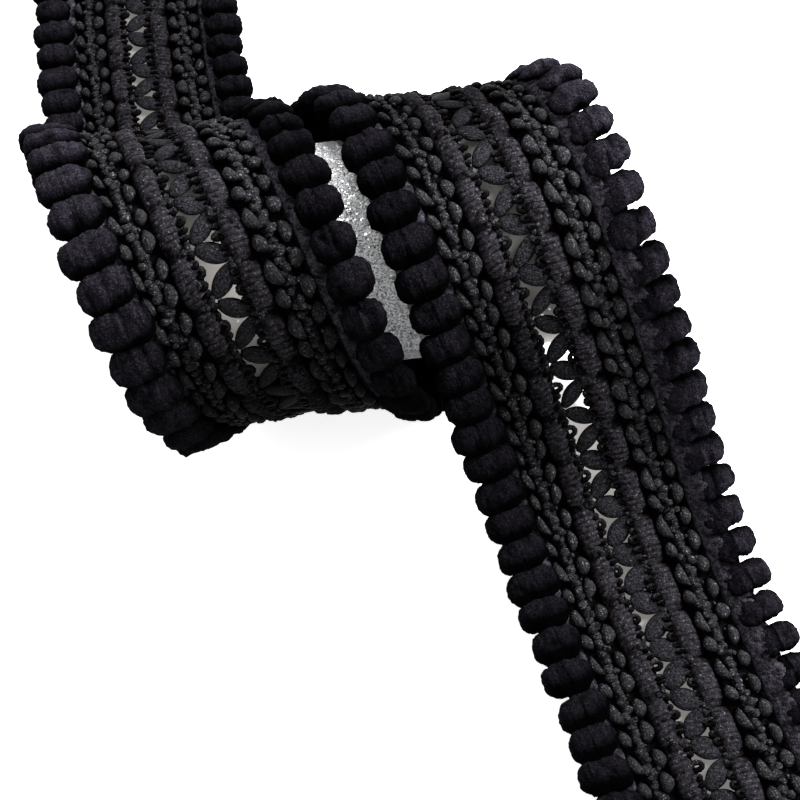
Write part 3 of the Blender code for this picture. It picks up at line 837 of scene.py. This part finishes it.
# The velour lobes, in mm and degrees. Pairs are for a round lobe and for a splayed one.
lobeLook = {
    "capRings": 12,
    "barrelRings": 8,
    "corners": 24,
    "endMargin": 3.5,
    "innerUneven": 0.35,
    "tip": 30.3,
    "tipUneven": 0.3,
    "splayedTip": 0.4,  # how much further out a splayed lobe goes
    "width": 9.0,
    "widths": (0.95, 1.03),
    "tipWidth": 0.86,  # a splayed lobe's outer part is narrower, by this share
    "narrowFrom": 23.0,
    "innerCap": {"left": 5.2, "right": 4.8},
    "outerCap": {"left": 4.8, "right": 5.3},
    "oval": 0.1,  # how much narrower a round lobe's ends are than its middle
    "sinking": (1.0, 3.6),  # how much lower the inner end's top is
    "sinkTo": 0.5,  # the share of the lobe's length at which it is at full height
    "tipDrop": 1.3,  # how far a splayed lobe's tip hangs
    "creaseAt": 24.6,
    "creaseUneven": 0.7,
    "creaseWidth": 0.55,
    "creaseDepth": (0.12, 0.26),
    "creaseLean": 0.45,
    "groovePitch": 1.5,
    "grooveDepth": 0.27,
    "nubDepth": 0.16,
    "lumpDepth": 0.3,
    "lean": {"left": 2.5, "right": 0.8},
    "splayedLean": -4.0,
    "roll": 13.0,  # a splayed lobe is turned about its length, so that its near side lies on the next lobe
    "seed": 120,
}
# Where lobes end inside, how far they are pressed open and raised, and where their painted light comes from.
edgePlaces = columnsOf(
    "along left right splayed raisedLeft raisedRight lightLeft lightRight",
    (-183, 18.8, 19.4, 0, 0, 0, 20, 25),
    (-20, 17.4, 20.0, 0, 0, 0, 20, 35),
    (30, 17.4, 20.2, 0, 0, 0, 30, 35),
    (62, 17.8, 20.0, 0, 3, 3, 30, 30),
    (85, 18.6, 19.0, 0, 0, 0, 0, 0),
    (180, 18.4, 19.0, 0.5, 0, 0, 0, 0),
    (200, 18.2, 19.2, 0.6, 0, 1.5, 20, -10),
    (228, 18.0, 19.4, 0.8, 0, 1.5, 40, -10),
    (245, 17.9, 19.6, 1, 0, 0.3, 42, -15),
    (407, 18.2, 19.8, 1, 0, 0, 42, -10),
)


# One column of the edge's table at the given places along the trim.
def edgeValue(name, along):
    return np.interp(along, edgePlaces["along"], edgePlaces[name])


# Lobes: round ended barrels across the trim, whose section is a circle drawn a little towards a square, with
# a flat back, a sinking inner end, irregular ring grooves, |sin| of the distance across, and random nubs
# along their normals.
def lobeBodies(side, look):
    hand = sides[side]
    random = np.random.default_rng(look["seed"] + hand)
    places = repeatPlaces(trim["lobePitch"], trim["lobePins"][side])
    low, high = trim["farEnd"] + look["endMargin"], trim["nearEnd"] - look["endMargin"]
    places = places[(places > low) & (places < high)][:, None, None]
    shape = places.shape
    splayed = edgeValue("splayed", places) * (side == "right")
    inner = edgeValue(side, places) + random.normal(0, look["innerUneven"], shape)
    tip = look["tip"] + look["splayedTip"] * splayed + random.normal(0, look["tipUneven"], shape)
    turn = np.linspace(0.07, 0.5, look["capRings"])[None, :, None] * math.pi
    run = np.linspace(0, 1, look["barrelRings"] + 2)[None, 1:-1, None]
    innerCap, outerCap = look["innerCap"][side], look["outerCap"][side]
    cap = 1 - np.cos(turn - turn[:, :1])
    barrel = inner + innerCap + (tip - outerCap - inner - innerCap) * run
    across = np.concatenate([inner + innerCap * cap, barrel, (tip - outerCap * cap)[:, ::-1]], axis=1)
    full = np.concatenate([np.sin(turn), np.ones_like(run), np.sin(turn)[:, ::-1]], axis=1)
    share = (across - inner) / (tip - inner)
    angle = ringAngles(look["corners"])
    unitAlong, unitOut = np.cos(angle), np.sin(angle)
    narrow = np.clip((across - look["narrowFrom"]) / 2, 0, 1)
    narrowing = 1 + (look["tipWidth"] - 1) * splayed * narrow * narrow * (3 - 2 * narrow)
    halfWidth = look["width"] / 2 * random.uniform(*look["widths"], shape) * narrowing
    creaseAt = look["creaseAt"] + random.normal(0, look["creaseUneven"], shape)
    creaseLine = creaseAt + look["creaseLean"] * random.uniform(-1, 1, shape) * halfWidth * unitAlong
    crease = np.exp(-(((across - creaseLine) / look["creaseWidth"]) ** 2)) * random.uniform(0.2, 1.2, shape)
    crease = crease * (0.1 + 0.9 * splayed)
    halfWidth = halfWidth * (1 - look["oval"] * (1 - splayed) * (2 * share - 1) ** 2)
    sink = np.clip(1 - share / look["sinkTo"], 0, 1)
    bottom = -trim["backBelow"] + 2.0 * sink**1.5
    top = trim["lobeHeight"] - trim["backBelow"] - np.interp(splayed, (0, 1), look["sinking"]) * sink**1.3
    top = top * random.uniform(0.9, 1.0, shape) - look["tipDrop"] * splayed * share**2
    raised = edgeValue("raised" + side.title(), places)
    wobble = 0.6 * roughness(joined(across, places * 3.1, 0 * share), look["seed"] + 3, 3.0, 8.0)
    rings = np.abs(np.sin(math.pi * (across / look["groovePitch"] + wobble + 0.12 * unitAlong))) ** 0.8
    depth = look["grooveDepth"] * (1 - rings) + np.interp(splayed, (0, 1), look["creaseDepth"]) * 2 * crease
    lean = np.radians(look["lean"][side] * random.normal(0, 1, shape) + look["splayedLean"] * splayed)
    squared = 0.86 + 0.14 * (np.abs(unitAlong) ** 3 + np.abs(unitOut) ** 3) ** (-1 / 3)
    radiusAlong = halfWidth * full - depth * full * 0.6
    radiusOut = (top - bottom) / 2 * full - depth * full
    along = places + radiusAlong * unitAlong * squared + (across - inner) * np.sin(lean)
    rolled = np.sin(np.radians(look["roll"]) * splayed) * radiusAlong * unitAlong
    out = (top + bottom) / 2 + radiusOut * unitOut * squared + raised * share + rolled
    flat = joined(along, hand * across, out)
    nubs = look["nubDepth"] * roughness(flat, look["seed"] + 11, 0.9, 1.7)
    nubs += look["lumpDepth"] * roughness(flat, look["seed"] + 12, 2.8, 6.0) * full
    flat[..., 0] += nubs * unitAlong
    flat[..., 2] += nubs * unitOut
    flat[..., 1] += hand * nubs * (1 - full) * np.sign(share - 0.5)
    highest = trim["lobeHeight"] - trim["backBelow"] + raised + 1.2 * splayed
    flat[..., 2] = np.clip(flat[..., 2], -trim["backBelow"], highest + 0.1)
    # Painted light: each lobe's side towards that direction is painted lit and the other side dark, its outer
    # tip a little lighter, and its ring grooves, creases and the nubs' hollows darker.
    light = np.radians(edgeValue("light" + side.title(), places))
    towardLight = unitOut * np.cos(light) - unitAlong * np.sin(light)
    paintedLight = np.clip((towardLight * full - 0.3) / 0.6, 0, 1)
    paintedLight = paintedLight + 0.35 * np.clip(share - 0.8, 0, 1) / 0.2 * (towardLight > 0)
    paintedLight = np.clip(paintedLight, 0, 1) * (1 - 0.5 * (1 - rings)) * (1 - 0.5 * crease)
    paintedLight = paintedLight * np.clip(1 + 1.5 * nubs, 0, 1)
    name = "velourLobes" + side.title()
    return addBodies(name, flat, flat[..., :2], paintedLight, velour, side == "right", "Velour")


baseLook = {"step": 0.7, "nubDepth": 0.38, "dip": 1.6, "seed": 150}
baseAcross = (18.3, 18.1, 18.5, 19.4, 20.6, 22.0, 23.4, 24.7, 25.5, 25.5, 24.0, 21.5)
baseOut = (-0.9, 0.4, 1.3, 1.9, 2.6, 3.5, 4.1, 3.3, 1.4, 0.0, -0.9, -1.15)


# The velour strip that the lobes grow from: the section above carried along the trim, with random nubs and a
# dip between lobes.
def velourBase(side, look):
    hand = sides[side]
    count = round((trim["nearEnd"] - trim["farEnd"]) / look["step"]) + 1
    along = np.linspace(trim["farEnd"], trim["nearEnd"], count)[:, None]
    across, out = np.array(baseAcross)[None, :], np.array(baseOut)[None, :]
    flat = joined(along, hand * across, out)
    nubs = look["nubDepth"] * roughness(flat, look["seed"] + hand, 1.0, 2.8)
    places = repeatPlaces(trim["lobePitch"], trim["lobePins"][side])
    lobeTurn = np.interp(along, places, np.arange(len(places)))
    between = 0.5 - 0.5 * np.cos(2 * math.pi * lobeTurn)
    dip = between**2 * np.clip((across - 20.5) / 3, 0, 1) * (out > 0)
    pressed = edgeValue("splayed", along)
    flat[..., 2] *= np.where(out > 0, 0.55 + 0.45 * pressed * (side == "right"), 1)
    flat[..., 2] = np.maximum(flat[..., 2] + nubs - look["dip"] * dip, -trim["backBelow"])
    flat[..., 1] += hand * (nubs * 0.5 - 1.0 * dip)
    # Painted shade: darker low down, between the lobes and in the nubs' hollows, and painted lighter where
    # the strip is not pressed open.
    shadeBetweenLobes = between**4 * np.clip((across - 18.6) / 1.5, 0, 1)
    paintedLight = np.clip((out + 0.8) / 2, 0.1, 1) * (1 - 0.75 * shadeBetweenLobes) * np.clip(1 + 2 * nubs, 0, 1)
    paintedLight = paintedLight * (1.4 - 0.4 * pressed)
    flat, paintedLight = flat[None], paintedLight[None]
    name = "velourBase" + side.title()
    return addBodies(name, flat, flat[..., :2], paintedLight, velourStrip, side == "left")


# The tube: a closed wall profile with rounded rims, turned round the tube's axis from its lowest line. Its
# map holds the distance along the tube and round it from the top, towards the viewer.
tubeLook = {"wall": 3.0, "rim": 0.7, "around": 128, "lengthSteps": 24, "rimSteps": 5}


def glitterTube(look):
    outer = (tubeHigh.z - tubeLow.z) / 2 / mm
    rim = look["rim"]
    inner, end = outer - look["wall"], (tubeHigh.x - tubeLow.x) / 2 / mm - rim
    quarter = np.linspace(0, math.pi / 2, look["rimSteps"])
    sine, cosine = rim * np.sin(quarter), rim * np.cos(quarter)
    run = np.linspace(-end, end, look["lengthSteps"])
    profile = (
        (run, np.full_like(run, outer)),
        (end + sine, outer - rim + cosine),
        (end + cosine, inner + rim - sine),
        (run[::-1], np.full_like(run, inner)),
        (-end - sine, inner + rim - cosine),
        (-end - cosine, outer - rim + sine),
    )
    lengthwise, radius = [np.concatenate([part[:-1] for part in parts]) for parts in zip(*profile)]
    turn = (np.arange(look["around"]) * 2 * math.pi / look["around"] - math.pi / 2)[:, None]
    points = joined(lengthwise, radius * np.cos(turn), radius * np.sin(turn)) * mm + np.array(tubeMiddle)
    rows, columns = points.shape[:2]
    row, column = np.meshgrid(np.arange(rows), np.arange(columns), indexing="ij")
    cornerRows = np.stack([row, row, row + 1, row + 1], -1).reshape(-1, 4)
    cornerColumns = np.stack([column, column + 1, column + 1, column], -1).reshape(-1, 4) % columns
    quads = cornerRows % rows * columns + cornerColumns
    mesh = bpy.data.meshes.new("glitterTube")
    mesh.from_pydata(points.reshape(-1, 3).tolist(), [], quads.tolist())
    mesh.shade_smooth()
    mesh.materials.append(glitter)
    fromTop = (cornerRows * 2 * math.pi / rows - math.pi) * outer
    boardMap = mesh.uv_layers.new(name="boardMap")
    spots = joined(lengthwise[cornerColumns], fromTop) * mm
    boardMap.data.foreach_set("uv", spots.astype(np.float32).ravel())
    tube = addObject("glitterTube", mesh)
    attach(tube, "root")
    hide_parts("core_tube")


glitterTube(tubeLook)
ladder = ladderCord(ladderLook)
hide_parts("ladder_zigzag")
for side in sides:
    band = wovenBand(side, bandLook)
    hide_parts("band_" + side)
    stitched = [chainRow(row, side, chainLook) for row in ("innerChain", "outerChain")]
    stitched += [knotPiece("knots", side, knotLook), picotLoops(side, picotLook)]
    stitched += [knotPiece("ties", side, knotLook)]
    lobes = lobeBodies(side, lobeLook)
    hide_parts("edge_" + side)
    base = velourBase(side, baseLook)
print("stage: trim made")


# The floor, the lights and the camera.
studio = {
    "floorSize": 4.0,  # metres
    "floorBelow": 0.3,  # mm under the trim
    "floorColor": "#f4f4f4",
    "floorGlow": 0.85,  # the table is lit from below, so that shadows on it stay faint
    "paintedShadowColor": "#5e5c5a",
    "paintedShadowGlow": 1.7,  # painted shadow: the soft dark patch under the middle of each tail, where the trim lies on it
    "paintedShadowAcross": ((-15, 0), (-9, 1), (9, 1), (15, 0)),  # mm from the middle, and how dark the painted shadow is
    "paintedShadowAlong": (((-183, 1), (-125, 1), (-98, 0)), ((232, 0), (252, 0.75), (280, 1), (407, 1))),
    "paintedShadowSteps": 60,
    "skyColor": "#ffffff",
    "skyStrength": 0.5,
}
lamps = (  # name, place and size in metres, and power
    ("softboxKey", (0.95, 0.25, 0.8), 0.45, 44.0),
    ("softboxBehind", (0.0, 0.8, 0.8), 0.6, 6.0),
    ("softboxLeft", (-0.85, -0.3, 0.75), 0.6, 2.0),
)
cameraLook = {
    "lens": 72.40,
    "sensor": 36.0,
    "elevation": 61.57,  # degrees above the floor
    "heading": 3.3,
    "roll": -3.82,
    "distance": 442.35,  # mm
    "fromCrest": (43.22, 0.0, -23.8),  # what it looks at, from the first crest's place on the floor
}


# The table's top: a plain pale surface with some light of its own, darker where a painted shadow lies.
def tableTop():
    material, tree, shader = startMaterial("tableTop", {"Roughness": 0.9})
    # The painted shadow's share at each point darkens the colour and sets its light of its own.
    paintedShadow = addNode(tree, "Attribute", {}, attribute_name="paintedShadow")["Fac"]
    color = mixColors(tree, paintedShadow, hexColor(studio["floorColor"]), hexColor(studio["paintedShadowColor"]))
    levels = {"Value": paintedShadow, "To Min": studio["floorGlow"], "To Max": studio["paintedShadowGlow"]}
    glow = addNode(tree, "MapRange", levels)["Result"]
    for output, socket in ((color, "Base Color"), (color, "Emission Color"), (glow, "Emission Strength")):
        tree.links.new(output, shader.inputs[socket])
    return material


def addTable(name, points, quads, material, shadowShares):
    mesh = bpy.data.meshes.new(name)
    mesh.from_pydata(points, [], quads)
    paintedShadow = mesh.attributes.new("paintedShadow", "FLOAT", "POINT")
    paintedShadow.data.foreach_set("value", shadowShares)
    mesh.materials.append(material)
    table = addObject(name, mesh)


# The floor, and under each tail a strip of it with a painted shadow, dark in its middle and fading out to the
# plain floor.
def addFloor():
    material = tableTop()
    size, height = studio["floorSize"] / 2, -studio["floorBelow"] * mm
    corners = [(-size, -size, height), (size, -size, height), (size, size, height), (-size, size, height)]
    addTable("floor", corners, [(0, 1, 2, 3)], material, [0.0] * 4)
    across, acrossShare = np.array(studio["paintedShadowAcross"], float).T
    for part, alongShares in enumerate(studio["paintedShadowAlong"]):
        places, shares = zip(*alongShares)
        along = np.linspace(places[0], places[-1], studio["paintedShadowSteps"])[:, None]
        points = layTrim(joined(along, across, 0 * along))
        points[..., 2] = height / 2
        shadowShares = np.interp(along, places, shares) * acrossShare
        rows, columns = shadowShares.shape
        corner = (np.arange(rows - 1)[:, None] * columns + np.arange(columns - 1)).ravel()
        quads = np.stack([corner, corner + columns, corner + columns + 1, corner + 1], axis=-1).tolist()
        addTable("paintedShadowFloor%d" % part, points.reshape(-1, 3).tolist(), quads, material, shadowShares.ravel())


def addLights():
    world = bpy.data.worlds.new("studioSky")
    world.use_nodes = True
    background = world.node_tree.nodes["Background"]
    background.inputs["Color"].default_value = hexColor(studio["skyColor"])
    background.inputs["Strength"].default_value = studio["skyStrength"]
    bpy.context.scene.world = world
    for name, place, size, power in lamps:
        light = bpy.data.lights.new(name, "AREA")
        light.size = size
        light.energy = power
        lamp = addObject(name, light)
        lamp.location = place
        lamp.rotation_euler = (-Vector(place)).to_track_quat("-Z", "Y").to_euler()


def addCamera(look):
    raised, heading, roll = [math.radians(look[name]) for name in ("elevation", "heading", "roll")]
    reach = math.cos(raised)
    back = Vector((-math.sin(heading) * reach, -math.cos(heading) * reach, math.sin(raised)))
    level = Vector((math.cos(heading), -math.sin(heading), 0.0))
    upright = back.cross(level)
    right = math.cos(roll) * level + math.sin(roll) * upright
    up = -math.sin(roll) * level + math.cos(roll) * upright
    data = bpy.data.cameras.new("camera")
    data.lens = look["lens"]
    data.sensor_width = look["sensor"]
    data.clip_start = 0.01
    camera = addObject("camera", data)
    turned = Matrix((right, up, back)).transposed().to_4x4()
    turned.translation = Vector(crestPlace) + Vector(look["fromCrest"]) * mm + back * look["distance"] * mm
    camera.matrix_world = turned
    bpy.context.scene.camera = camera


addFloor()
addLights()
addCamera(cameraLook)
bpy.context.scene.view_settings.view_transform = "Standard"
print("stage: studio set")
